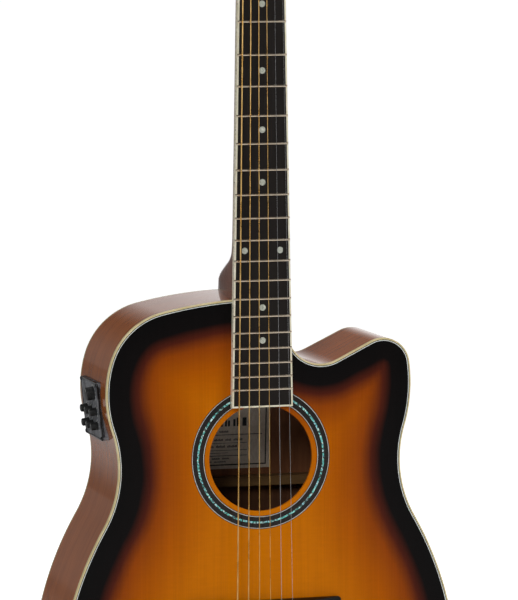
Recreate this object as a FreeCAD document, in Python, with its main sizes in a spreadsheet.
import FreeCAD, Part
import math
import os

import Sketcher

App = FreeCAD
V = App.Vector

# A steel-string acoustic guitar with a cutaway body, a side preamp and an end-pin socket.
# Instrument frame while modelling: X to the treble side, Y from the soundboard's face into the body,
# Z up the neck from the tail of the body. Stations are distances down from the nut along the strings.
# Each sub-part is then seated so that the origin is the centre of the tail strap pin's rim.

doc = App.newDocument("acoustic_guitar")
sheet = doc.addObject("Spreadsheet::Sheet", "sizes")

SIZES = {
    # strings and stations
    "scale_length": 650.0,
    "joint_fret": 14.0,
    "body_length": 507.0,
    "nut_spread": 36.0,
    "saddle_spread": 54.0,
    # body outline, as arcs that follow one another: radius, then the heading where each ends
    "shoulder_top_radius": 422.0,
    "shoulder_top_end": 13.0,
    "shoulder_radius": 67.0,
    "shoulder_end": 74.6,
    "flank_radius": 106.5,
    "flank_end": 108.7,
    "waist_radius": 109.7,
    "waist_end": 60.0,
    "lower_bout_radius": 323.7,
    "corner_end": 159.3,
    # cutaway
    "cutaway_offset": 25.8,
    "scoop_radius": 33.8,
    "scoop_end": -26.3,
    "horn_radius": 26.6,
    "horn_end": 82.3,
    "horn_flank_radius": 145.4,
    "horn_flank_end": 106.5,
    # box
    "depth_at_neck": 100.0,
    "depth_at_tail": 122.0,
    "back_arch_radius": 4500.0,
    "soundboard_thickness": 3.0,
    "back_thickness": 2.8,
    "side_thickness": 2.5,
    "binding_width": 1.5,
    "binding_depth": 3.5,
    "purfling_width": 1.6,
    "inlay_depth": 1.2,
    "lining_width": 6.0,
    "lining_height": 13.0,
    # sound hole and rosette
    "hole_station": 510.5,
    "hole_radius": 50.0,
    "rosette_inner": 54.6,
    "rosette_outer": 67.2,
    "rosette_line": 0.7,
    "rosette_edge": 0.5,
    "shell_inner": 59.8,
    "shell_outer": 62.0,
    # neck
    "nut_width": 43.2,
    "board_end_width": 58.8,
    "board_end_station": 462.0,
    "board_thickness": 6.5,
    "board_binding": 1.6,
    "fret_height": 1.0,
    "fret_width": 2.2,
    "dot_radius": 3.1,
    "dot_depth": 1.0,
    "octave_dot_offset": 17.2,
    "nut_thickness": 5.0,
    "nut_height": 9.2,
    "heel_depth": 97.0,
    "heel_cap_thickness": 2.5,
    "rod_radius": 2.9,
    "rod_depth": 4.6,
    # headstock, in its own frame that leans back from the nut
    "headstock_angle": 13.0,
    "headstock_length": 182.0,
    "headstock_thickness": 14.0,
    "headstock_low_width": 60.0,
    "headstock_top_width": 76.0,
    "veneer_thickness": 1.6,
    "cover_thickness": 2.0,
    # tuners
    "post_first": 44.0,
    "post_pitch": 41.0,
    "post_low_offset": 20.5,
    "post_top_offset": 23.0,
    "post_radius": 3.1,
    "post_height": 19.0,
    "post_bore_radius": 5.0,
    "gear_centres": 7.0,
    "wheel_radius": 4.0,
    "worm_radius": 2.6,
    "worm_depth": 20.5,
    "housing_back": 26.5,
    "button_start": 41.5,
    # bridge
    "bridge_front_station": 644.6,
    "bridge_half_length": 77.0,
    "bridge_width": 27.0,
    "bridge_belly": 10.0,
    "bridge_thickness": 9.5,
    "saddle_station": 653.0,
    "saddle_thickness": 3.0,
    "saddle_length": 74.0,
    "saddle_height": 3.2,
    "saddle_slot_depth": 6.0,
    "saddle_slant": 2.3,
    "pin_station": 670.0,
    "pin_radius": 2.7,
    # preamp on the bass side
    "panel_station": 465.0,
    "panel_depth": 56.0,
    "panel_side_offset": 148.8,
    "panel_lean": 5.6,
    "panel_width": 66.0,
    "panel_height": 55.0,
    "panel_thickness": 2.6,
    "panel_rim": 8.0,
    "window_width": 56.0,
    "window_height": 46.0,
    "preamp_box_depth": 27.0,
    "stem_radius": 1.5,
    "stem_engagement": 3.0,
    "screw_length": 6.0,
    "screw_radius": 0.9,
    "knob_radius": 4.0,
    "knob_height": 7.0,
    "volume_radius": 6.4,
    "volume_height": 7.5,
    # end pin
    "pin_rim_radius": 8.5,
    "pin_rim_thickness": 3.0,
    "pin_neck_radius": 6.0,
    "pin_neck_length": 9.0,
    "pin_depth": 59.0,
    "socket_radius": 3.25,
    "barrel_length": 27.0,
}
for row, (alias, value) in enumerate(SIZES.items(), start=1):
    sheet.set(f"A{row}", alias)
    sheet.set(f"B{row}", str(value))
    sheet.setAlias(f"B{row}", alias)
doc.recompute()


def size(alias):
    return float(sheet.get(alias))


def cell(text):
    """An expression in which each name from the sheet stands for its cell."""
    words = sorted(SIZES, key=len, reverse=True)
    made = ""
    i = 0
    while i < len(text):
        word = next((w for w in words if text.startswith(w, i)), None)
        made += f"sizes.{word}" if word else text[i]
        i += len(word) if word else 1
    return made


SCALE = size("scale_length")
JOINT_STATION = SCALE * (1 - 2 ** (-size("joint_fret") / 12))
TAIL_STATION = JOINT_STATION + size("body_length")
RIM_TO_BODY = size("pin_neck_length") + size("pin_rim_thickness") / 2
SEAT = App.Placement(V(0, -size("pin_depth"), RIM_TO_BODY), App.Rotation())
SUBPARTS = {}


def height(station):
    """Z of a station in the instrument frame."""
    return TAIL_STATION - station


def fret_station(number):
    return SCALE * (1 - 2 ** (-number / 12))


def board_half_width(station):
    low, high = size("nut_width"), size("board_end_width")
    return (low + (high - low) * station / size("board_end_station")) / 2


def keep(obj, label, local=None):
    """Names a sub-part and seats it in the row frame."""
    obj.Label = label
    obj.Placement = SEAT.multiply(local) if local else SEAT
    SUBPARTS[label] = obj
    return obj


# ---- frames of the leaning headstock and of the preamp panel

HEADSTOCK = App.Placement(
    V(0, 0, height(-size("nut_thickness"))),
    App.Rotation(V(1, 0, 0), -size("headstock_angle")),
)
_lean = math.radians(size("panel_lean"))
PANEL = App.Placement(
    V(-size("panel_side_offset"), size("panel_depth"), height(size("panel_station"))),
    App.Rotation(
        V(0, -1, 0),
        V(-math.sin(_lean), 0, math.cos(_lean)),
        V(-math.cos(_lean), 0, -math.sin(_lean)),
        "ZXY",
    ),
)


# ---- small helpers around FreeCAD's own features


def new_body(name):
    return doc.addObject("PartDesign::Body", name)


def sketch(body, role, geometry, offset=None):
    """A sketch on one of the body's own origin planes, moved along its normal by an expression."""
    plane = next(f for f in body.Origin.OriginFeatures if f.Role == role)
    made = body.newObject("Sketcher::SketchObject", body.Name + "_sketch")
    made.AttachmentSupport = (plane, [""])
    made.MapMode = "FlatFace"
    made.addGeometry(geometry, False)
    if offset:
        made.setExpression("AttachmentOffset.Base.z", cell(offset))
    return made


def pad(body, profile, length, reverse=False):
    made = body.newObject("PartDesign::Pad", body.Name + "_pad")
    made.Profile = profile
    made.setExpression("Length", cell(length))
    made.Reversed = reverse
    doc.recompute()
    return made


def pocket(body, profile, length, reverse=False):
    before = body.Shape.Volume
    made = body.newObject("PartDesign::Pocket", body.Name + "_pocket")
    made.Profile = profile
    made.setExpression("Length", cell(length))
    made.Reversed = reverse
    doc.recompute()
    if not body.Shape.Volume < before - 0.01:
        raise RuntimeError(f"a pocket of {body.Name} cuts nothing")
    return made


def revolve(body, profile):
    made = body.newObject("PartDesign::Revolution", body.Name + "_revolution")
    made.Profile = profile
    made.ReferenceAxis = (profile, ["V_Axis"])
    made.Angle = 360
    doc.recompute()
    return made


def soften(body, edges, radius, kind="Fillet"):
    """Rounds or bevels the edges of the body's last feature that a test picks out."""
    last = body.Tip
    names = [f"Edge{n}" for n, e in enumerate(last.Shape.Edges, start=1) if edges(e)]
    made = body.newObject("PartDesign::" + kind, body.Name + "_" + kind.lower())
    made.Base = (last, names)
    if kind == "Fillet":
        made.Radius = radius
    else:
        made.Size = radius
    doc.recompute()
    if "Invalid" in made.State:
        raise RuntimeError(f"the {kind} of {body.Name} fails on {len(names)} edges")
    return made


def polygon(points):
    """Closed chain of straight lines for a sketch."""
    ends = [V(x, y, 0) for x, y in points]
    return [Part.LineSegment(a, b) for a, b in zip(ends, ends[1:] + ends[:1])]


def circle(x, y, radius):
    return Part.Circle(V(x, y, 0), V(0, 0, 1), radius)


def rounded_box(x0, y0, x1, y1, radius):
    """Rectangle with round corners, as lines and arcs for a sketch."""
    made = []
    corners = [(x1, y1, 0), (x0, y1, 90), (x0, y0, 180), (x1, y0, 270)]
    for k, (x, y, turn) in enumerate(corners):
        sx, sy = (1 if x == x1 else -1), (1 if y == y1 else -1)
        centre = V(x - sx * radius, y - sy * radius, 0)
        points = [
            centre + V(math.cos(math.radians(a)), math.sin(math.radians(a)), 0) * radius
            for a in (turn, turn + 45, turn + 90)
        ]
        made.append(Part.Arc(*points))
    arcs = list(made)
    for a, b in zip(arcs, arcs[1:] + arcs[:1]):
        made.append(Part.LineSegment(a.EndPoint, b.StartPoint))
    return made


def box(name, x, y, z, length, width, tall):
    """Part::Box from its lowest corner; a size given as text is bound to the sheet."""
    made = doc.addObject("Part::Box", name)
    for prop, value in (("Length", length), ("Width", width), ("Height", tall)):
        if isinstance(value, str):
            made.setExpression(prop, cell(value))
        else:
            setattr(made, prop, value)
    made.Placement.Base = V(x, y, z)
    return made


def cylinder(name, base, axis, radius, tall):
    made = doc.addObject("Part::Cylinder", name)
    for prop, value in (("Radius", radius), ("Height", tall)):
        if isinstance(value, str):
            made.setExpression(prop, cell(value))
        else:
            setattr(made, prop, value)
    made.Placement = App.Placement(base, App.Rotation(V(0, 0, 1), axis))
    return made


def boolean(kind, name, base, tool):
    made = doc.addObject("Part::" + kind, name)
    made.Base = base
    made.Tool = tool
    doc.recompute()
    return made


def cut(name, base, tool):
    return boolean("Cut", name, base, tool)


def common(name, base, tool):
    return boolean("Common", name, base, tool)


def fuse(name, shapes):
    made = doc.addObject("Part::MultiFuse", name)
    made.Shapes = shapes
    doc.recompute()
    return made


def compound(name, links):
    made = doc.addObject("Part::Compound", name)
    made.Links = links
    doc.recompute()
    return made


# ---- body outline


def arc_chain(x, station, heading, arcs):
    """Arcs that follow one another. Headings turn from straight out (0) to straight down (90 degrees);
    a negative radius bends the other way. Returns the arcs' points and where they end."""
    points = [(x, station)]
    for radius, end in arcs:
        for a, b in ((heading, (heading + end) / 2), ((heading + end) / 2, end)):
            a, b = math.radians(a), math.radians(b)
            x += radius * (math.sin(b) - math.sin(a))
            station += radius * (math.cos(a) - math.cos(b))
            points.append((x, station))
        heading = end
    return points


def upper_arcs(inset):
    return [
        (size("shoulder_top_radius") - inset, size("shoulder_top_end")),
        (size("shoulder_radius") - inset, size("shoulder_end")),
        (size("flank_radius") - inset, size("flank_end")),
        (-size("waist_radius") - inset, 90.0),
    ]


def tail_radii():
    """Radii of the lower corner and of the tail that close the outline on the centre line."""
    x, station = arc_chain(0, JOINT_STATION, 0, upper_arcs(0) + lower_arcs(0, 0, 0)[:2])[-1]
    end = math.radians(size("corner_end"))
    a, b = math.sin(end) - 1, -math.sin(end)
    c, d = -math.cos(end), math.cos(end) + 1
    e, f = -x, TAIL_STATION - station
    det = a * d - b * c
    return (e * d - b * f) / det, (a * f - e * c) / det


def lower_arcs(inset, corner, tail):
    return [
        (-size("waist_radius") - inset, size("waist_end")),
        (size("lower_bout_radius") - inset, 90.0),
        (corner - inset, size("corner_end")),
        (tail - inset, 180.0),
    ]


CORNER_RADIUS, TAIL_RADIUS = tail_radii()


def bass_side(inset):
    arcs = upper_arcs(inset) + lower_arcs(inset, CORNER_RADIUS, TAIL_RADIUS)
    return arc_chain(0, JOINT_STATION + inset, 0, arcs)


def treble_side(inset):
    """Points of the cutaway side from the neck corner to the tail, and the two straight stretches' ends."""
    waist = bass_side(inset)[8]
    start = size("cutaway_offset") - inset
    scoop_end = size("scoop_end")
    scoop = arc_chain(0, 0, 90, [(-size("scoop_radius") - inset, scoop_end)])
    horn = arc_chain(
        0,
        0,
        scoop_end,
        [
            (size("horn_radius") - inset, size("horn_end")),
            (size("horn_flank_radius") - inset, size("horn_flank_end")),
            (-size("waist_radius") - inset, 90.0),
        ],
    )
    slope = math.radians(scoop_end)
    run = (waist[0] - start - scoop[-1][0] - horn[-1][0]) / math.cos(slope)
    drop = waist[1] - scoop[-1][1] - horn[-1][1] - run * math.sin(slope)
    first = [(start + x, drop + s) for x, s in scoop]
    x, s = first[-1]
    x, s = x + run * math.cos(slope), s + run * math.sin(slope)
    second = [(x + u, s + v) for u, v in horn]
    rest = [(x, s) for x, s in bass_side(inset)[8:]]
    return first, second + rest[1:]


def arcs_through(points, side):
    """Arcs for a sketch in X and Z from start, middle, end, middle, end... stations."""
    flat = [V(side * x, height(s), 0) for x, s in points]
    return [Part.Arc(*flat[k : k + 3]) for k in range(0, len(flat) - 2, 2)]


def outline(inset=0.0):
    """Closed outline of the body in X and Z, moved inwards by inset."""
    bass = bass_side(inset)
    first, second = treble_side(inset)
    top = JOINT_STATION + inset
    start = first[0][0]
    lines = [
        Part.LineSegment(V(0, height(top), 0), V(start, height(top), 0)),
        Part.LineSegment(V(start, height(top), 0), V(start, height(first[0][1]), 0)),
        Part.LineSegment(V(first[-1][0], height(first[-1][1]), 0), V(second[0][0], height(second[0][1]), 0)),
    ]
    return arcs_through(bass, -1) + arcs_through(first, 1) + arcs_through(second, 1) + lines


def outline_prism(name, insets, start, depth):
    """A body whose section is the outline, or the ring between two insets, from one depth for a length."""
    made = new_body(name)
    geometry = [g for inset in insets for g in outline(inset)]
    pad(made, sketch(made, "XZ_Plane", geometry, f"-({start})"), depth, reverse=True)
    return made


# ---- arched back: spheres that share a centre behind the soundboard


def arch_centre():
    """Centre of the back's sphere, which passes the depths at the neck and at the tail."""
    y0, y1 = size("depth_at_neck"), size("depth_at_tail")
    z0, z1 = height(JOINT_STATION), height(TAIL_STATION)
    chord = math.hypot(y1 - y0, z1 - z0)
    reach = math.sqrt(size("back_arch_radius") ** 2 - (chord / 2) ** 2)
    across = V(0, (z1 - z0) / chord, -(y1 - y0) / chord)
    middle = V(0, (y0 + y1) / 2, (z0 + z1) / 2)
    return middle + across * reach


ARCH_CENTRE = arch_centre()


def arch(name, inside="0"):
    """Sphere of the back's outer face, or one inside it by a thickness."""
    made = doc.addObject("Part::Sphere", name)
    made.setExpression("Radius", cell(f"back_arch_radius - ({inside})"))
    made.Placement.Base = ARCH_CENTRE
    return made


def back_depth(x, station, inside=0.0):
    """Depth of the back's face, or of a face inside it, at a point of the body."""
    rise = (size("back_arch_radius") - inside) ** 2 - x**2 - (height(station) - ARCH_CENTRE.z) ** 2
    return ARCH_CENTRE.y + math.sqrt(rise)


OUTER_ARCH = arch("outer_arch")
BACK_INNER = arch("back_inner_arch", "back_thickness")
BINDING_INNER = arch("binding_inner_arch", "binding_depth")
LINING_INNER = arch("lining_inner_arch", "back_thickness + lining_height")
LONG = "depth_at_tail + 20"
TOP_UNDER = size("soundboard_thickness")


def make_soundboard():
    made = outline_prism("soundboard", [size("binding_width")], "0", "soundboard_thickness")
    inner = size("binding_width") + size("purfling_width")
    edge = outline(size("binding_width") - 1) + outline(inner)
    pocket(made, sketch(made, "XZ_Plane", edge), "inlay_depth")
    hole_z = height(size("hole_station"))
    hole = sketch(made, "XZ_Plane", [circle(0, hole_z, size("hole_radius"))])
    hole.addConstraint(Sketcher.Constraint("Radius", 0, size("hole_radius")))
    hole.setExpression("Constraints[0]", cell("hole_radius"))
    pocket(made, hole, "soundboard_thickness")
    rings = [circle(0, hole_z, size("rosette_inner")), circle(0, hole_z, size("rosette_outer"))]
    pocket(made, sketch(made, "XZ_Plane", rings), "inlay_depth")
    pins = [circle(x, height(size("pin_station")), size("pin_radius") + 0.1) for x in pin_places()]
    pocket(made, sketch(made, "XZ_Plane", pins), "soundboard_thickness")
    lead = [circle(*lead_hole(), 1.5)]
    pocket(made, sketch(made, "XZ_Plane", lead), "soundboard_thickness")
    keep(made, "soundboard")


def pin_places():
    pitch = size("saddle_spread") / 5
    return [(k - 2.5) * pitch for k in range(6)]


def lead_hole():
    """Where the pickup's lead drops through the bridge and the soundboard."""
    return -size("saddle_length") / 2 + 4, height(size("saddle_station") + size("saddle_slant"))


def make_rosette():
    middle = height(size("hole_station"))
    inner, outer = size("rosette_inner"), size("rosette_outer")
    edge, line = size("rosette_edge"), size("rosette_line")
    gap = 0.02
    plan = {
        "rosette_band": [
            (inner, inner + edge),
            (inner + edge + line, size("shell_inner")),
            (size("shell_outer"), outer - edge - line),
            (outer - edge, outer),
        ],
        "rosette_lines": [(inner + edge, inner + edge + line), (outer - edge - line, outer - edge)],
        "rosette_shell": [(size("shell_inner"), size("shell_outer"))],
    }
    for label, rings in plan.items():
        solids = []
        for number, (low, high) in enumerate(rings, start=1):
            ring = new_body(f"{label}_{number}")
            geometry = [circle(0, middle, low + gap / 2), circle(0, middle, high - gap / 2)]
            pad(ring, sketch(ring, "XZ_Plane", geometry), "inlay_depth", reverse=True)
            solids.append(ring)
        keep(compound(label + "_rings", solids), label)


def make_rim():
    """Two bent sides, their bindings, the purfling and the linings that glue the plates on."""
    ring = outline_prism("side_ring", [0, size("side_thickness")], "binding_depth", LONG)
    rim = common("rim_arched", ring, BINDING_INNER)
    start = V(0, size("pin_depth"), -1)
    socket = cylinder("socket_hole", start, V(0, 0, 1), "pin_neck_radius + 0.1", 40)
    rim = cut("rim_with_socket_hole", rim, socket)
    opening = box("preamp_window", 0, 0, 0, "window_width", "window_height", 70)
    corner = V(-size("window_width") / 2, -size("window_height") / 2, -60)
    opening.Placement = PANEL.multiply(App.Placement(corner, App.Rotation()))
    drills = [drill(f"panel_pilot_{k}", place) for k, place in enumerate(panel_screw_places(), start=1)]
    window = fuse("preamp_window_and_pilots", [opening] + drills)
    half = box("bass_half", -300, -10, -10, 300, 200, 600)
    bass = common("bass_half_rim", rim, half)
    keep(cut("bass_side_with_window", bass, window), "side_bass")
    keep(cut("treble_half_rim", rim, half), "side_treble")

    edge = size("binding_width")
    keep(outline_prism("top_binding_ring", [0, edge], "0", "binding_depth"), "top_binding")
    back_ring = common("back_ring_outer", outline_prism("back_ring", [0, edge], "60", LONG), OUTER_ARCH)
    keep(cut("back_ring_arched", back_ring, BINDING_INNER), "back_binding")
    inlay = outline_prism("purfling_ring", [edge, edge + size("purfling_width")], "0", "inlay_depth")
    keep(inlay, "top_purfling")

    inside = size("side_thickness")
    insets = [inside, inside + size("lining_width")]
    top = outline_prism("top_lining", insets, "soundboard_thickness", "lining_height")
    back = outline_prism("back_lining_ring", insets, "60", LONG)
    back = cut("back_lining", common("back_lining_outer", back, BACK_INNER), LINING_INNER)
    blocks = fuse("blocks_space", [block_space("neck"), block_space("tail")])
    keep(cut("linings_between_blocks", fuse("both_linings", [top, back]), blocks), "linings")


def block_space(which):
    """Plain box that a glue block and the gap in the linings share."""
    z = height(JOINT_STATION + 62) if which == "neck" else 0
    tall = 70 if which == "neck" else 22
    wide = (-46, 90) if which == "neck" else (-40, 80)
    return box(which + "_block_box", wide[0], TOP_UNDER, z, wide[1], 150, tall)


def make_blocks():
    """Neck block behind the heel and tail block behind the end pin, both glued to the sides."""
    inner = outline_prism("block_outline", [size("side_thickness")], "soundboard_thickness", LONG)
    for which in ("neck", "tail"):
        block = common(which + "_block_in_rim", block_space(which), inner)
        block = common(which + "_block_arched", block, BACK_INNER)
        if which == "tail":
            start = V(0, size("pin_depth"), -1)
            hole = cylinder("tail_block_hole", start, V(0, 0, 1), "pin_neck_radius + 0.1", 60)
            block = cut("tail_block_drilled", block, hole)
        keep(block, which + "_block")


def make_back():
    plate = outline_prism("back_prism", [size("binding_width")], "60", LONG)
    plate = cut("back_arched", common("back_outer", plate, OUTER_ARCH), BACK_INNER)
    keep(plate, "back_plate")

    # braces across the back, rounded on top, that end at the linings
    reach = size("side_thickness") + size("lining_width") + 0.3
    field = outline_prism("back_brace_field", [reach], "60", LONG)
    bars = []
    for number, (station, width, tall) in enumerate(BACK_BRACES, start=1):
        bars.append(box(f"back_bar_{number}", -220, 60, height(station) - width / 2, 440, 120, width))
    strips = []
    for number, (bar, (station, width, tall)) in enumerate(zip(bars, BACK_BRACES), start=1):
        under = arch(f"back_bar_face_{number}", f"back_thickness + {tall}")
        shaped = cut(f"back_bar_shaped_{number}", common(f"back_bar_outer_{number}", bar, BACK_INNER), under)
        strips.append(common(f"back_bar_fitted_{number}", shaped, field))
    keep(compound("back_brace_set", strips), "back_braces")

    label = box("label_box", -40, 60, height(LABEL_STATION) - 33, 80, 120, 66)
    face = arch("label_face", "back_thickness + 0.25")
    keep(cut("label_sheet", common("label_outer", label, BACK_INNER), face), "label")


# station, width, height of each back brace, and the label's station between the first two
BACK_BRACES = [(452.0, 8.0, 14.0), (547.0, 9.0, 15.0), (655.0, 18.0, 9.0), (768.0, 18.0, 9.0)]
LABEL_STATION = 503.0


def strut(name, start, end, width, tall):
    """A straight brace under the soundboard between two points given as X and station."""
    (x0, s0), (x1, s1) = start, end
    length = math.hypot(x1 - x0, s1 - s0)
    made = box(name, 0, 0, 0, length, tall, width)
    turn = math.degrees(math.atan2(s1 - s0, x1 - x0))
    rotation = App.Rotation(V(0, 1, 0), turn)
    base = V(x0, TOP_UNDER, height(s0)) + rotation.multVec(V(0, 0, -width / 2))
    made.Placement = App.Placement(base, rotation)
    return made


PLATE_HALF_LENGTH = 72


def make_top_braces():
    """X-brace, tone bars, finger braces and upper transverse brace, glued under the soundboard."""
    plan = [
        ("x_brace_one", (-66, 476), (170, 800), 8.0, 14.0),
        ("x_brace_two", (66, 476), (-170, 800), 8.0, 14.0),
        ("transverse_brace", (-150, 449), (150, 449), 10.0, 13.0),
        ("tone_bar_one", (-96, 700), (100, 780), 7.0, 11.0),
        ("tone_bar_two", (-130, 745), (50, 830), 7.0, 10.0),
        ("finger_bass_one", (-62, 610), (-160, 640), 6.0, 8.0),
        ("finger_bass_two", (-98, 655), (-180, 690), 6.0, 8.0),
        ("finger_treble_one", (62, 610), (160, 640), 6.0, 8.0),
        ("finger_treble_two", (98, 655), (180, 690), 6.0, 8.0),
    ]
    bars = fuse("top_brace_bars", [strut(*row) for row in plan])
    reach = size("side_thickness") + size("lining_width") + 0.3
    field = outline_prism("top_brace_field", [reach], "0", "60")
    fitted = common("top_braces_fitted", bars, field)
    # the bars stop short of the sound hole, the bridge plate and the preamp box
    centre = V(0, -1, height(size("hole_station")))
    hole = cylinder("hole_keep_out", centre, V(0, 1, 0), "hole_radius + 6", 40)
    reach = PLATE_HALF_LENGTH + 1
    plate = box("plate_keep_out", -reach, 0, height(size("bridge_front_station") + 44), 2 * reach, 5.7, 50)
    keep(cut("top_braces_notched", cut("top_braces_at_hole", fitted, hole), plate), "top_braces")

    made = new_body("bridge_plate_body")
    front = size("bridge_front_station")
    reach, top, low = PLATE_HALF_LENGTH, height(front - 5), height(front + 43)
    shape = polygon([(-reach, top), (reach, top), (reach, low), (-reach, low)])
    pad(made, sketch(made, "XZ_Plane", shape, "-soundboard_thickness"), "2.6", reverse=True)
    holes = [circle(x, height(size("pin_station")), size("pin_radius") + 0.1) for x in pin_places()]
    holes.append(circle(*lead_hole(), 1.5))
    pocket(made, sketch(made, "XZ_Plane", holes, "-soundboard_thickness"), "5")
    keep(made, "bridge_plate")


# ---- neck

# station, depth of the neck below the fingerboard, boxiness of its section, narrowing towards the back
NECK_SECTIONS = [
    (-5.0, 15.0, 2.3, 0.0),
    (60.0, 15.4, 2.2, 0.0),
    (180.0, 16.4, 2.2, 0.0),
    (280.0, 17.6, 2.2, 0.0),
    (304.0, 20.5, 2.3, 0.02),
    (312.0, 26.0, 2.6, 0.06),
    (320.0, 38.0, 3.0, 0.14),
    (328.0, 58.0, 3.3, 0.20),
    (335.0, 80.0, 3.5, 0.24),
    (344.0, 102.0, 3.5, 0.25),
    (350.0, 110.0, 3.5, 0.25),
    (364.0, 112.0, 3.5, 0.25),
]


def neck_section(station, depth, power, narrowing):
    """Sketch of the neck's section at a station, a D that grows boxier towards the heel."""
    points = []
    steps = 16
    for k in range(steps + 1):
        a = math.pi * k / steps
        y = depth * math.sin(a)
        x = board_half_width(max(station, 0)) * abs(math.cos(a)) ** (2 / power)
        x *= (1 - narrowing * y / depth) * (1 if math.cos(a) >= 0 else -1)
        points.append(V(x, y, 0))
    curve = Part.BSplineCurve()
    curve.interpolate(points)
    made = doc.addObject("Sketcher::SketchObject", f"neck_section_{int(station + 5)}")
    made.addGeometry([curve, Part.LineSegment(points[-1], points[0])], False)
    made.Placement.Base = V(0, 0, height(station))
    return made


def headstock_outline():
    """Half outline of the headstock in its own frame: from the nut out to the ears and up to the crown."""
    low, top = size("headstock_low_width") / 2, size("headstock_top_width") / 2
    long = size("headstock_length")
    nut = board_half_width(0)
    flare = [(nut, 0), (nut + 0.6, 7), (low - 1.5, 22), (low, 30)]
    return flare + [(top, long - 14), (top - 8, long - 3), (0, long + 4)]


def headstock_sketch(made, offset=None):
    """Outline drawn with a smooth flare at the nut and a crowned top."""
    half = [V(x, z, 0) for x, z in headstock_outline()]
    geometry = []
    for side in (1, -1):
        p = [V(side * q.x, q.y, 0) for q in half]
        flare = Part.BSplineCurve()
        flare.interpolate(p[:4], InitialTangent=V(0, 1, 0), FinalTangent=p[4] - p[3])
        ear = V(side * (half[4].x - 2.6), half[4].y + 8.6, 0)
        geometry += [flare, Part.LineSegment(p[3], p[4])]
        geometry += [Part.Arc(p[4], ear, p[5]), Part.LineSegment(p[5], p[6])]
    geometry.append(Part.LineSegment(V(-half[0].x, 0, 0), V(half[0].x, 0, 0)))
    return sketch(made, "XZ_Plane", geometry, offset)


def post_places():
    """Side, X and height of each string post in the headstock's frame, low string first."""
    rise = (size("post_top_offset") - size("post_low_offset")) / 2
    places = []
    for k in range(3):
        x = size("post_low_offset") + rise * k
        places.append((-1, -x, size("post_first") + size("post_pitch") * k))
    return places + [(1, -x, z) for _, x, z in reversed(places)]


def make_neck():
    loft = doc.addObject("Part::Loft", "neck_loft")
    loft.Sections = [neck_section(*row) for row in NECK_SECTIONS]
    loft.Solid = True
    loft.Ruled = True
    doc.recompute()
    deep = size("heel_depth")
    beyond = box("beyond_heel", -60, deep, height(380), 120, 60, 120)
    solid = cut("neck_to_heel_cap", loft, beyond)

    board = new_body("headstock_board")
    pad(board, headstock_sketch(board), "headstock_thickness", reverse=True)
    thick = size("headstock_thickness")
    soften(board, lambda e: abs(e.BoundBox.YMin - thick) < 0.01 and e.BoundBox.YLength < 0.01
           and e.BoundBox.ZMax > 20, 1.5, "Chamfer")
    board.Placement = HEADSTOCK
    solid = fuse("neck_with_headstock", [solid, board])
    body_space = outline_prism("body_space", [0], "0", LONG)
    solid = cut("neck_against_body", solid, body_space)
    rod = size("rod_radius") + 0.2
    channel = box("rod_channel", -rod, 0, height(356), 2 * rod, size("rod_depth") + rod, 354)
    solid = cut("neck_with_channel", solid, channel)
    holes = []
    for number, (_, x, z) in enumerate(post_places(), start=1):
        hole = cylinder(f"post_hole_{number}", V(), V(0, 1, 0), "post_bore_radius", 40)
        hole.Placement = HEADSTOCK.multiply(App.Placement(V(x, -5, z), App.Rotation(V(0, 0, 1), V(0, 1, 0))))
        holes.append(hole)
    for number, place in enumerate(lug_screw_places() + cover_screw_places(), start=1):
        holes.append(drill(f"headstock_pilot_{number}", place))
    solid = cut("neck_drilled", solid, fuse("post_holes", holes))
    keep(solid, "neck")

    slab = box("cap_slab", -60, deep, height(380), 120, size("heel_cap_thickness"), 120)
    cap = cut("heel_cap_trimmed", common("heel_cap_blank", loft, slab), body_space)
    keep(cap, "heel_cap")

    made = new_body("truss_rod_body")
    profile = sketch(made, "XY_Plane", [circle(0, size("rod_depth"), size("rod_radius"))], "0")
    pad(made, profile, "346")
    keep(made, "truss_rod", App.Placement(V(0, 0, height(352)), App.Rotation()))


def board_outline(start, end, inset):
    """Corners of the tapered fingerboard between two stations."""
    a, b = board_half_width(start) - inset, board_half_width(end) - inset
    return [(-a, height(start)), (a, height(start)), (b, height(end)), (-b, height(end))]


def make_fingerboard():
    end = size("board_end_station")
    edge = size("board_binding")
    made = new_body("fingerboard_body")
    pad(made, sketch(made, "XZ_Plane", polygon(board_outline(0, end - edge, edge))), "board_thickness")
    for x, station in dot_places():
        spot = sketch(made, "XZ_Plane", [circle(x, height(station), size("dot_radius"))], "board_thickness")
        pocket(made, spot, "dot_depth")
    keep(made, "fingerboard")

    rail = new_body("fingerboard_binding_body")
    a, b = board_half_width(0), board_half_width(end)
    top, low, sill = height(0), height(end), height(end - edge)
    c = board_half_width(end - edge) - edge
    corners = [(-a, top), (-a + edge, top), (-c, sill), (c, sill)]
    corners += [(a - edge, top), (a, top), (b, low), (-b, low)]
    pad(rail, sketch(rail, "XZ_Plane", polygon(corners)), "board_thickness")
    keep(rail, "fingerboard_binding")

    bars = []
    for number in range(1, 21):
        station = fret_station(number)
        half = board_half_width(station)
        wire = box(f"fret_{number}", -half, 0, height(station), 2 * half, "fret_height", "fret_width")
        crown = -size("board_thickness") - size("fret_height")
        wire.Placement.Base = V(-half, crown, height(station) - size("fret_width") / 2)
        bars.append(wire)
    keep(compound("fret_set", bars), "frets")

    dots = []
    for number, (x, station) in enumerate(dot_places(), start=1):
        face = V(x, -size("board_thickness"), height(station))
        dots.append(cylinder(f"dot_{number}", face, V(0, 1, 0), "dot_radius", "dot_depth"))
    keep(compound("dot_set", dots), "position_dots")


def dot_places():
    """X and station of each dot, midway between two frets."""
    places = []
    for fret in (3, 5, 7, 9, 12, 15, 17):
        station = (fret_station(fret - 1) + fret_station(fret)) / 2
        for x in (-size("octave_dot_offset"), size("octave_dot_offset")) if fret == 12 else (0,):
            places.append((x, station))
    return places


def string_place(number, spread):
    """X of a string, number 1 on the bass side."""
    return (number - 3.5) * spread / 5


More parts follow.
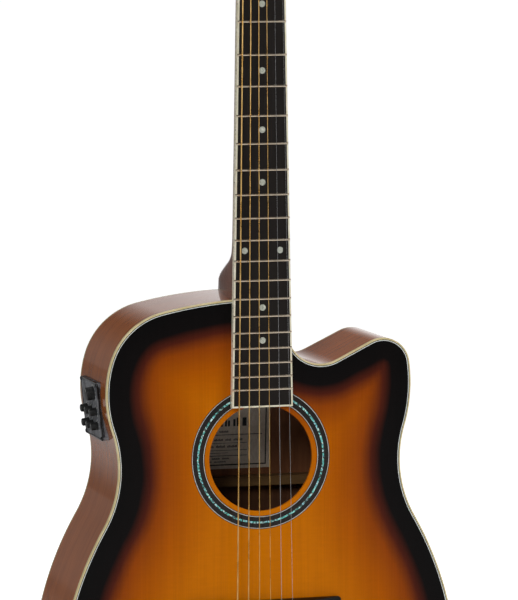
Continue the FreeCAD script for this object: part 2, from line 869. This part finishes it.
STRING_RADII = [0.67, 0.53, 0.41, 0.30, 0.20, 0.15]
SLOT_DEPTH = 1.2
SLOT_EASE = 0.15
SADDLE_ROUNDING = 1.2
STRING_LIFT = 0.06


def make_nut():
    made = new_body("nut_body")
    half = board_half_width(0)
    tall = size("nut_thickness")
    shape = polygon([(-half, height(0)), (half, height(0)), (half, height(-tall)), (-half, height(-tall))])
    pad(made, sketch(made, "XZ_Plane", shape), "nut_height")
    slots = []
    above, floor = -size("nut_height") - 1, -size("nut_height") + SLOT_DEPTH
    for number, radius in enumerate(STRING_RADII, start=1):
        x = string_place(number, size("nut_spread"))
        a, b = x - radius - SLOT_EASE, x + radius + SLOT_EASE
        slots += polygon([(a, above), (b, above), (b, floor), (a, floor)])
    profile = sketch(made, "XY_Plane", slots)
    profile.AttachmentOffset.Base = V(0, 0, height(1))
    groove = made.newObject("PartDesign::Pocket", "nut_slots")
    groove.Profile = profile
    groove.Midplane = True
    groove.Length = 40
    doc.recompute()
    keep(made, "nut")


# ---- headstock hardware


def make_headstock():
    veneer = new_body("veneer_body")
    pad(veneer, headstock_sketch(veneer), "veneer_thickness")
    holes = [circle(x, z, size("post_bore_radius")) for _, x, z in post_places()]
    holes += [circle(0, z, size("screw_radius") + 0.02) for z in COVER_SCREWS]
    pocket(veneer, sketch(veneer, "XZ_Plane", holes, "veneer_thickness"), "veneer_thickness")
    keep(veneer, "headstock_veneer", HEADSTOCK)

    cover = new_body("rod_cover_body")
    shape = [
        Part.LineSegment(V(-9, 3, 0), V(9, 3, 0)),
        Part.LineSegment(V(9, 3, 0), V(6.5, 34, 0)),
        Part.Arc(V(6.5, 34, 0), V(0, 40.5, 0), V(-6.5, 34, 0)),
        Part.LineSegment(V(-6.5, 34, 0), V(-9, 3, 0)),
    ]
    shape += [circle(0, z, size("screw_radius") + 0.02) for z in COVER_SCREWS]
    pad(cover, sketch(cover, "XZ_Plane", shape, "veneer_thickness"), "cover_thickness")
    keep(cover, "truss_rod_cover", HEADSTOCK)


def turned(name, profile):
    """A body turned about its own Z from a half section of radius and height pairs."""
    made = new_body(name)
    revolve(made, sketch(made, "XZ_Plane", polygon(profile)))
    return made


def make_tuners():
    """Six sealed machine heads: housing, bushing, post with wheel and string winding, worm with button."""
    housings, bushings, screws = [], [], []
    wood, front = size("headstock_thickness"), size("veneer_thickness")
    post, wheel, worm = size("post_radius"), size("wheel_radius"), size("worm_radius")
    deep, back = size("worm_depth"), size("housing_back")
    outwards = App.Rotation(V(0, 0, 1), V(0, -1, 0))
    for number, (side, x, z) in enumerate(post_places(), start=1):
        shell = new_body(f"housing_{number}")
        edge = [-8.0, 8.5] if side > 0 else [-8.5, 8.0]
        outer = rounded_box(edge[0], -12.2, edge[1], 7.5, 2.5)
        pad(shell, sketch(shell, "XZ_Plane", outer, f"-({wood} + 0.02)"), f"{back} - {wood}", reverse=True)
        shell.Placement = App.Placement(V(x, 0, z), App.Rotation())
        chamber = cylinder(f"wheel_chamber_{number}", V(x, 16.5, z), V(0, 1, 0), wheel + 0.6, 7)
        bore = cylinder(f"housing_bore_{number}", V(x, wood - 1, z), V(0, 1, 0), post + 0.1, 6)
        start = V(x - side * 6.2, deep, z - size("gear_centres"))
        tunnel = cylinder(f"worm_tunnel_{number}", start, V(side, 0, 0), worm + 0.1, 30)
        hollow = fuse(f"housing_hollow_{number}", [chamber, bore, tunnel])
        housings.append(cut(f"housing_made_{number}", shell, hollow))

        inner, outer = post + 0.06, size("post_bore_radius") - 0.04
        sleeve = turned(f"bushing_{number}", [
            (inner, -wood + 2), (outer, -wood + 2), (outer, front), (7.8, front), (7.8, front + 0.9),
            (5.9, front + 1.3), (5.5, front + 2.4), (inner, front + 2.4)])
        sleeve.Placement = App.Placement(V(x, 0, z), outwards)
        bushings.append(sleeve)

        # the post narrows where the string winds on, and carries the worm wheel at its inner end
        tip = front + size("post_height")
        rod = turned(f"post_{number}", [
            (0, -23), (wheel, -23), (wheel, -18), (post, -18), (post, tip - 12), (post - 0.5, tip - 10.5),
            (post - 0.5, tip - 3.5), (post, tip - 2.5), (post, tip - 0.4), (post - 0.4, tip), (0, tip)])
        coil_low = tip - 10.3
        thick = STRING_RADII[number - 1]
        coil = turned(f"winding_{number}", [
            (post - 0.5, coil_low), (post - 0.5 + 2 * thick, coil_low),
            (post - 0.5 + 2 * thick, coil_low + 6.6 * thick), (post - 0.5, coil_low + 6.6 * thick)])
        pair = compound(f"post_and_winding_{number}", [rod, coil])
        keep(pair, f"string_post_{number}", HEADSTOCK.multiply(App.Placement(V(x, 0, z), outwards)))

        button = new_body(f"button_{number}")
        start = size("button_start") - abs(x)
        kidney = rounded_box(start, -9.2, start + 13, 9.2, 5.4)
        pad(button, sketch(button, "XZ_Plane", kidney, "-3.4"), "6.8")
        soften(button, lambda e: e.BoundBox.YLength < 0.01, 1.4)
        shaft = new_body(f"worm_shaft_{number}")
        pad(shaft, sketch(shaft, "YZ_Plane", [circle(0, 0, worm)], "-5.6"), f"{start + 7.0}")
        whole = fuse(f"button_with_worm_{number}", [button, shaft])
        turn = App.Rotation() if side > 0 else App.Rotation(V(0, 1, 0), 180)
        axle = App.Placement(V(x, deep, z - size("gear_centres")), turn)
        keep(whole, f"tuner_button_{number}", HEADSTOCK.multiply(axle))

    keep(compound("housing_set", housings), "tuner_housings", HEADSTOCK)
    keep(compound("bushing_set", bushings), "tuner_bushings", HEADSTOCK)


COVER_SCREWS = (6.5, 34.0)


def lug_screw_places():
    """One screw in each tuner housing's lug, from the back of the headstock."""
    back = size("headstock_thickness")
    turn = App.Rotation(V(0, 0, 1), V(0, 1, 0))
    return [HEADSTOCK.multiply(App.Placement(V(x, back + 0.01, z + 11), turn)) for _, x, z in post_places()]


def cover_screw_places():
    front = -size("veneer_thickness") - size("cover_thickness") - 0.01
    turn = App.Rotation(V(0, 0, 1), V(0, -1, 0))
    return [HEADSTOCK.multiply(App.Placement(V(0, front, z), turn)) for z in COVER_SCREWS]


def panel_corners():
    x, y = size("panel_width") / 2 - 2.6, size("panel_height") / 2 - 2.4
    return [(-x, -y), (x, -y), (x, y), (-x, y)]


def panel_screw_places():
    return [PANEL.multiply(App.Placement(V(x, y, 0.01), App.Rotation())) for x, y in panel_corners()]


def drill(name, placement):
    """Pilot hole for a small screw whose head stands on +Z of the placement."""
    made = cylinder(name, V(), V(0, 0, 1), "screw_radius + 0.02", "screw_length + 1.5")
    made.Placement = placement.multiply(App.Placement(V(0, 0, -size("screw_length") - 0.5), App.Rotation()))
    return made


def make_screws():
    """Identical pan-head screws: one in each tuner lug, two in the rod cover and four in the panel."""
    long, r = size("screw_length"), size("screw_radius")
    places = lug_screw_places() + cover_screw_places() + panel_screw_places()
    screws = []
    for number, place in enumerate(places, start=1):
        profile = [(0, -long), (r, -long + 1), (r, 0), (2.2, 0), (2.0, 1.0), (0.9, 1.5), (0, 1.5)]
        screw = turned(f"small_screw_{number}", profile)
        screw.Placement = place
        screws.append(screw)
    keep(compound("screw_set", screws), "small_screws")


# ---- bridge


def saddle_turn():
    """The saddle slants so that the bass strings are a little longer."""
    slope = size("saddle_slant") / size("saddle_length") * 2
    return App.Rotation(V(0, 1, 0), -math.degrees(math.atan(slope)))


def saddle_box(name, grow, y0, deep):
    made = box(name, 0, 0, 0, size("saddle_length") + 2 * grow, deep, size("saddle_thickness") + 2 * grow)
    centre = V(0, y0, height(size("saddle_station")))
    corner = saddle_turn().multVec(V(-made.Length.Value / 2, 0, -made.Height.Value / 2))
    made.Placement = App.Placement(centre + corner, saddle_turn())
    return made


def make_bridge():
    made = new_body("bridge_body")
    half, front = size("bridge_half_length"), size("bridge_front_station")
    back = front + size("bridge_width")
    belly = back + size("bridge_belly")
    corner, waist = 2.5, 52
    bulge = 0.293 * corner
    top, bottom = height(front), height(back)
    shape = []
    for side in (1, -1):
        inner, mid, outer = side * (half - corner), side * (half - bulge), side * half
        shape += [
            Part.LineSegment(V(0, top, 0), V(inner, top, 0)),
            Part.Arc(V(inner, top, 0), V(mid, top - bulge, 0), V(outer, top - corner, 0)),
            Part.LineSegment(V(outer, top - corner, 0), V(outer, bottom + corner, 0)),
            Part.Arc(V(outer, bottom + corner, 0), V(mid, bottom + bulge, 0), V(inner, bottom, 0)),
            Part.LineSegment(V(inner, bottom, 0), V(side * waist, bottom, 0)),
        ]
    shape.append(Part.Arc(V(waist, bottom, 0), V(0, height(belly), 0), V(-waist, bottom, 0)))
    pad(made, sketch(made, "XZ_Plane", shape), "bridge_thickness")
    # each wing is scooped down to a thin end
    wing = 5.2
    for side in (1, -1):
        top = -size("bridge_thickness") - 1
        low = -size("bridge_thickness") + wing
        start, end = side * 47.0, side * (half + 1)
        profile = [
            Part.Arc(V(start, top + 1, 0), V(start + side * 11.5, low - 1.3, 0), V(end, low, 0)),
            Part.LineSegment(V(end, low, 0), V(end, top, 0)),
            Part.LineSegment(V(end, top, 0), V(start, top, 0)),
            Part.LineSegment(V(start, top, 0), V(start, top + 1, 0)),
        ]
        scoop = sketch(made, "XY_Plane", profile)
        scoop.AttachmentOffset.Base = V(0, 0, height(front) + 5)
        pocket(made, scoop, "60")
    soften(made, lambda e: e.BoundBox.YMax < -size("bridge_thickness") + 0.01 and e.BoundBox.YLength < 0.01
           and e.BoundBox.XLength > 60 and e.BoundBox.ZMax > height(front) - 1, 1.2)
    slot = saddle_box("saddle_slot", 0.05, -size("bridge_thickness") - 1, size("saddle_slot_depth") + 1)
    solid = cut("bridge_slotted", made, slot)
    pin_height = height(size("pin_station"))
    inwards = V(0, 1, 0)
    drills = [cylinder(f"bridge_pin_hole_{k}", V(x, -20, pin_height), inwards, "pin_radius + 0.1", 30)
              for k, x in enumerate(pin_places(), start=1)]
    x, z = lead_hole()
    slot_floor = -size("bridge_thickness") + size("saddle_slot_depth")
    drills.append(cylinder("bridge_lead_hole", V(x, slot_floor - 0.5, z), inwards, 1.5, 20))
    keep(cut("bridge_drilled", solid, fuse("bridge_drills", drills)), "bridge")

    strip = 1.2
    floor = -size("bridge_thickness") + size("saddle_slot_depth")
    tall = size("saddle_slot_depth") + size("saddle_height") - strip
    blank = saddle_box("saddle_blank", 0, floor - strip - tall, tall)
    rounded = doc.addObject("Part::Fillet", "saddle_rounded")
    rounded.Base = blank
    edges = enumerate(blank.Shape.Edges, start=1)
    top_edges = [k for k, e in edges if e.Length > 50 and e.BoundBox.YMax < floor - 5]
    rounded.Edges = [(k, SADDLE_ROUNDING, SADDLE_ROUNDING) for k in top_edges]
    doc.recompute()
    keep(rounded, "saddle")
    film = saddle_box("pickup_film", 0, floor - strip, strip)
    lead_start = cylinder("pickup_lead_start", V(x, floor, z), V(0, 1, 0), 0.9, 14)
    keep(fuse("pickup_with_lead", [film, lead_start]), "saddle_pickup")

    pins = []
    top = size("bridge_thickness")
    for number, x in enumerate(pin_places(), start=1):
        shank = size("pin_radius")
        pin = turned(f"bridge_pin_{number}", [
            (0, top - 21), (shank - 0.9, top - 21), (shank, top), (3.6, top + 0.02), (4.1, top + 1.4),
            (3.9, top + 3.0), (2.6, top + 4.2), (0, top + 4.6)])
        pin.Placement = App.Placement(V(x, 0, pin_height), App.Rotation(V(0, 0, 1), V(0, -1, 0)))
        pins.append(pin)
    keep(compound("pin_set", pins), "bridge_pins")


# ---- strings


def string_route(number):
    """Straight runs of one string: bridge pin, saddle, nut and the near side of its post."""
    radius = STRING_RADII[number - 1]
    x_saddle = string_place(number, size("saddle_spread"))
    x_nut = string_place(number, size("nut_spread"))
    slant = size("saddle_slant") * 2 * -x_saddle / size("saddle_length")
    crown = -size("bridge_thickness") - size("saddle_height") - radius - STRING_LIFT
    # the bend lies over the rear half of the rounded saddle and at the rear edge of the nut
    saddle = V(x_saddle, crown, height(size("saddle_station") + slant + 0.45))
    pin = V(x_saddle, -size("bridge_thickness") - radius - 0.1, height(size("pin_station")) + 4.6 + radius)
    rest = -size("nut_height") + SLOT_DEPTH - radius - STRING_LIFT
    nut = V(x_nut, rest, height(-size("nut_thickness") - 0.1))
    side, x, z = post_places()[number - 1]
    # the run aims at the middle of the winding and stops just short of it
    coil = -(size("veneer_thickness") + size("post_height") - 10.3 + 3.3 * radius)
    core = size("post_radius") - 0.5
    reach = core + radius
    meet = HEADSTOCK.multVec(V(x - side * reach, coil, z))
    short = math.sqrt((core + 3 * radius + 0.35) ** 2 - reach**2)
    post = meet + (nut - meet).normalize() * (short + 0.4)
    return [pin, saddle, nut, post]


def make_string(number):
    """One string as round runs with a ball at each bend."""
    radius = STRING_RADII[number - 1]
    stops = string_route(number)
    pieces = []
    for k, (a, b) in enumerate(zip(stops, stops[1:]), start=1):
        pieces.append(cylinder(f"string_{number}_run_{k}", a, b - a, radius, (b - a).Length))
    for k, stop in enumerate(stops[1:3], start=1):
        ball = doc.addObject("Part::Sphere", f"string_{number}_bend_{k}")
        ball.Radius = radius
        ball.Placement.Base = stop
        pieces.append(ball)
    return fuse(f"string_{number}", pieces)


def make_strings():
    strings = [make_string(n) for n in range(1, 7)]
    keep(compound("wound_set", strings[:4]), "wound_strings")
    keep(compound("plain_set", strings[4:]), "plain_strings")


# ---- preamp, on the panel's frame: X towards the soundboard, Y up, Z outwards

KNOB_ROWS = [(-1.0, (-17.0, 0.5, 18.0)), (-14.5, (-17.0, 0.5, 18.0))]
VOLUME_AT = (14.0, 16.0)
SWITCH_AT = (-17.0, 16.5)
SWITCH_TRAVEL = 6.0
BOX_GAP = 0.3


def knob_places():
    return [(x, y) for y, row in KNOB_ROWS for x in row]


def make_knob(label, x, y, radius, tall):
    """Knob on a stem that runs in the preamp's box, with a pointer slot across its top."""
    stem = size("stem_radius")
    low = -size("panel_thickness") - BOX_GAP - size("stem_engagement")
    knob = turned(label + "_turned", [
        (0, low), (stem, low), (stem, 0.4), (radius, 0.4), (radius, 1.4), (radius - 0.5, 1.8),
        (radius - 0.7, tall - 0.5), (radius - 1.2, tall), (0, tall)])
    wide = 0.35
    pointer = polygon([(-wide, 0.8), (wide, 0.8), (wide, radius + 1), (-wide, radius + 1)])
    notch = sketch(knob, "XY_Plane", pointer)
    notch.AttachmentOffset.Base = V(0, 0, tall)
    pocket(knob, notch, "0.5")
    keep(knob, label, PANEL.multiply(App.Placement(V(x, y, 0), App.Rotation())))


def frame_solid(name, half_width, half_height, low, high, inner=None, corner=3.5):
    """Round-cornered prism on the panel's frame, with a rectangular window if inner is given."""
    made = new_body(name)
    shape = rounded_box(-half_width, -half_height, half_width, half_height, corner)
    if inner:
        shape += rounded_box(-inner[0], -inner[1], inner[0], inner[1], 1)
    profile = sketch(made, "XY_Plane", shape)
    profile.AttachmentOffset.Base = V(0, 0, low)
    pad(made, profile, f"{high - low}")
    return made


def make_preamp():
    thick, rim = size("panel_thickness"), size("panel_rim")
    w, h = size("panel_width") / 2, size("panel_height") / 2
    inner = size("window_width") / 2 + 0.3, size("window_height") / 2 + 0.3
    plate = frame_solid("panel_plate", w, h, -thick, 0)
    soften(plate, lambda e: e.BoundBox.ZMin > -0.01 and e.BoundBox.ZLength < 0.01, 0.8)
    holes = [circle(x, y, size("stem_radius") + 0.3) for x, y in knob_places() + [VOLUME_AT]]
    holes += [circle(x, y, size("screw_radius") + 0.02) for x, y in panel_corners()]
    x, y = SWITCH_AT
    slot = rounded_box(x - 1.7, y - 5.5, x + 1.7, y + 5.5, 0.4)
    pocket(plate, sketch(plate, "XY_Plane", holes + slot), "panel_thickness")
    plate.Placement = PANEL
    # the rim behind the plate is scribed to the curve of the side
    skirt = frame_solid("panel_skirt", w, h, -rim, -thick + 0.01, inner)
    screw_holes = [circle(x, y, size("screw_radius") + 0.02) for x, y in panel_corners()]
    pocket(skirt, sketch(skirt, "XY_Plane", screw_holes), "panel_rim")
    skirt.Placement = PANEL
    side = outline_prism("side_space", [-0.03], "0", LONG)
    keep(cut("panel_scribed", fuse("panel_with_skirt", [plate, skirt]), side), "preamp_panel")

    top = -thick - BOX_GAP
    case = frame_solid("preamp_case", size("window_width") / 2 - 1, size("window_height") / 2 - 1,
                       top - size("preamp_box_depth"), top, corner=2)
    soften(case, lambda e: e.BoundBox.ZLength < 0.01 and e.BoundBox.ZMax < -20, 1.5)
    wells = [circle(x, y, size("stem_radius") + 0.08) for x, y in knob_places() + [VOLUME_AT]]
    mouth = sketch(case, "XY_Plane", wells + rounded_box(x - 1.7, y - 5.5, x + 1.7, y + 5.5, 0.4))
    mouth.AttachmentOffset.Base = V(0, 0, top)
    pocket(case, mouth, "stem_engagement + 0.4")
    keep(case, "preamp_box", PANEL)

    make_knob("volume_knob", *VOLUME_AT, size("volume_radius"), size("volume_height"))
    for number, (across, up) in enumerate(knob_places(), start=1):
        make_knob(f"tone_knob_{number}", across, up, size("knob_radius"), size("knob_height"))

    slider = frame_solid("switch_slider", 1.35, 2, top - size("stem_engagement"), 2.0, corner=0.4)
    place = App.Placement(V(x, y - SWITCH_TRAVEL / 2, 0), App.Rotation())
    keep(slider, "phase_switch", PANEL.multiply(place))


# ---- end pin and inside leads


def make_end_pin():
    """Strap pin whose barrel is also the output socket."""
    rim, thick = size("pin_rim_radius"), size("pin_rim_thickness")
    neck, long, hole = size("pin_neck_radius"), size("pin_neck_length"), size("socket_radius")
    top = size("barrel_length")
    made = turned("end_pin_turned", [
        (hole, -long - thick), (rim - 0.6, -long - thick), (rim, -long - thick + 0.6), (rim, -long - 0.0),
        (neck + 0.4, -long + 0.8), (neck + 0.4, -2.2), (rim, -1.8), (rim, -0.02), (neck, -0.02),
        (neck, top), (hole, top)])
    keep(made, "end_pin_socket", App.Placement(V(0, size("pin_depth"), 0), App.Rotation()))


def tube(name, points, radius):
    """Round lead along straight runs joined by tangent arcs as large as the runs allow."""
    edges = []
    at = points[0]
    for before, corner, after in zip(points, points[1:], points[2:]):
        u, v = (before - corner), (after - corner)
        trim = 0.45 * min(u.Length, v.Length)
        u.normalize()
        v.normalize()
        turn = math.pi - u.getAngle(v)
        bend = trim / math.tan(turn / 2)
        inward = (u + v)
        inward.normalize()
        centre = corner + inward * (bend / math.cos(turn / 2))
        middle = centre - inward * bend
        a, b = corner + u * trim, corner + v * trim
        edges += [Part.LineSegment(at, a).toShape(), Part.Arc(a, middle, b).toShape()]
        at = b
        print(f"{name} bend radius {bend:.1f}")
    edges.append(Part.LineSegment(at, points[-1]).toShape())
    path = Part.Wire(edges)
    ring = Part.Wire(Part.makeCircle(radius, points[0], points[1] - points[0]))
    solid = path.makePipeShell([ring], True, False)
    print(f"{name} volume over section times length {solid.Volume / (math.pi * radius**2 * path.Length):.4f}")
    return solid


LEAD_RADIUS = 1.2


def make_leads():
    """Leads inside the box: from the pickup to the preamp, and from the preamp to the end pin."""
    x, z = lead_hole()
    behind = -size("panel_thickness") - BOX_GAP - size("preamp_box_depth") - 0.05
    rear, other = PANEL.multVec(V(6, -6, behind)), PANEL.multVec(V(-6, -6, behind))
    tip = V(x, 11.0, z)
    pickup = [tip, V(x - 2, 34, z + 4), V(x - 12, 52, z + 50), V(x - 40, 58, z + 100), V(-78, 52, z + 150),
              rear + V(24, 2, -8), rear]
    top = size("barrel_length") + 0.1
    end = V(0, size("pin_depth"), top)
    socket = [end, end + V(0, 0, 32), V(-24, 68, 108), V(-60, 76, 170), V(-84, 78, 240), V(-88, 74, 310),
              other + V(30, 2, -30), other + V(22, 0, -2), other]
    made = doc.addObject("Part::Feature", "lead_pair")
    leads = [tube("pickup_lead", pickup, LEAD_RADIUS), tube("socket_lead", socket, LEAD_RADIUS)]
    made.Shape = Part.makeCompound(leads)
    keep(made, "inner_leads")


def build():
    make_soundboard()
    make_rosette()
    make_rim()
    make_blocks()
    make_back()
    make_top_braces()
    make_neck()
    make_fingerboard()
    make_nut()
    make_headstock()
    make_tuners()
    make_screws()
    make_bridge()
    make_strings()
    make_preamp()
    make_end_pin()
    make_leads()
    doc.recompute()
    failed = [o.Name for o in doc.Objects if "Invalid" in o.State or "Error" in o.State]
    if failed:
        raise RuntimeError(f"objects failed: {failed}")
    os.makedirs("parts", exist_ok=True)
    for label, obj in SUBPARTS.items():
        shape = obj.Shape
        if shape.isNull() or not shape.isValid() or not shape.Solids:
            raise RuntimeError(f"{label} has no valid solid")
        shape.exportStep(f"parts/{label}.step")
    print(f"{len(SUBPARTS)} sub-parts written")


build()
